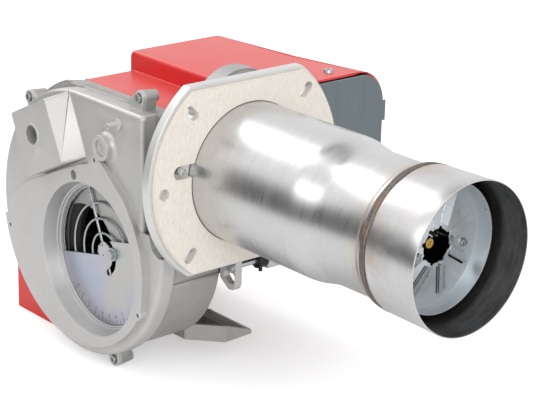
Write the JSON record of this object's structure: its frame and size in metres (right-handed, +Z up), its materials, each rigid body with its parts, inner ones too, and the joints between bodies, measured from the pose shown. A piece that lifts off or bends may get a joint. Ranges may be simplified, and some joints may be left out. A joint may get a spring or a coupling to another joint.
{
  "type": "oil burner",
  "caption": "Compact light-oil burner with a long steel blast tube, clamped boiler flange, volute fan housing with an air damper, and a sheet hood over motor, pump and controls.",
  "frame": {"origin": "on the blast tube's axis, 4 mm in front of the flange plate and 2 mm behind the gasket's front face", "axes": "-Y out along the blast tube, +X to the right seen from the mouth's side, +Z up"},
  "size_m": [0.3144, 0.627, 0.3305],
  "materials": {
    "cast_aluminium": "satin",
    "sand_casting": "matte",
    "red_enamel": "satin",
    "galvanised_sheet": "satin",
    "gasket_board": "matte",
    "stainless": "satin",
    "weld": "matte",
    "zinc_plate": "satin",
    "damper_zinc": "satin",
    "black_metal": "satin",
    "motor_enamel": "satin",
    "lamination": "matte",
    "brass": "satin",
    "copper": "satin",
    "porcelain": "gloss",
    "black_plastic": "matte",
    "blue_plastic": "matte",
    "white_plastic": "matte",
    "amber_plastic": "matte",
    "red_plastic": "gloss"
  },
  "bodies": {
    "frame": {"intake_cover": "cast_aluminium", "fan_housing": "sand_casting", "cover_bolts": "zinc_plate", "inspection_plug": "zinc_plate", "pressure_nipple": "cast_aluminium", "wire_guard": "zinc_plate", "air_guide_plate": "cast_aluminium", "damper_screw": "zinc_plate", "inlet_cone": "black_metal", "motor_stator": "lamination", "motor_casing": "motor_enamel", "motor_end_cap": "motor_enamel", "motor_bearings": "stainless", "motor_screws": "zinc_plate", "run_capacitor": "white_plastic", "pump_bracket": "cast_aluminium", "oil_pump": "cast_aluminium", "solenoid_coil": "black_plastic", "oil_pipe": "copper", "pipe_union": "brass", "blast_tube": "stainless", "weld_seam": "weld", "mouth_cup": "stainless", "photocell": "black_plastic", "chassis_plate": "zinc_plate", "ignition_transformer": "motor_enamel", "control_base": "black_plastic", "control_box": "blue_plastic", "plug_socket": "black_plastic", "support_foot": "sand_casting", "foot_screws": "zinc_plate", "hood": "red_enamel", "front_panel": "galvanised_sheet", "hood_screws": "zinc_plate"},
    "firing_head": {"nozzle_pipe": "brass", "head_bracket": "zinc_plate", "nozzle_holder": "brass", "nozzle": "brass", "diffuser_disc": "zinc_plate", "diffuser_screws": "zinc_plate", "electrode_clamp": "zinc_plate", "electrode_insulators": "porcelain", "electrode_wires": "stainless"},
    "adjuster": {"head_screw": "zinc_plate"},
    "rotor": {"fan_wheel": "black_metal", "motor_shaft": "stainless", "motor_rotor": "lamination", "pump_coupling": "amber_plastic"},
    "damper": {"damper_plate": "damper_zinc"},
    "flange": {"flange_plate": "cast_aluminium", "flange_gasket": "gasket_board", "clamp_collar": "cast_aluminium", "clamp_bolt": "zinc_plate", "clamp_nuts": "black_metal", "flange_screws": "zinc_plate"},
    "button": {"reset_button": "red_plastic"}
  },
  "joints": [
    {"name": "fan_spin", "type": "hinge", "parent": "frame", "child": "rotor", "pos_m": [0, 0.15, -0.118], "axis": [1, 0, 0], "continuous": true},
    {"name": "damper_swing", "type": "hinge", "parent": "frame", "child": "damper", "pos_m": [-0.064, 0.15, -0.118], "axis": [1, 0, 0], "range_deg": [-78, 94]},
    {"name": "head_slide", "type": "slide", "parent": "frame", "child": "firing_head", "axis": [0, -1, 0], "range_m": [0, 0.015]},
    {"name": "adjuster_turn", "type": "hinge", "parent": "frame", "child": "adjuster", "pos_m": [0.026, 0.17, 0.024], "axis": [0, 1, 0], "range_deg": [0, 4320]},
    {"name": "flange_slide", "type": "slide", "parent": "frame", "child": "flange", "axis": [0, -1, 0], "range_m": [0, 0.06]},
    {"name": "reset_push", "type": "slide", "parent": "frame", "child": "button", "axis": [-1, 0, 0], "range_m": [0, 0.004], "stiffness_N_per_m": 600, "springref_m": -0.002}
  ],
  "couplings": [
    {"joint": "adjuster_turn", "follows": "head_slide", "rad_per_m": 5026.5}
  ]
}
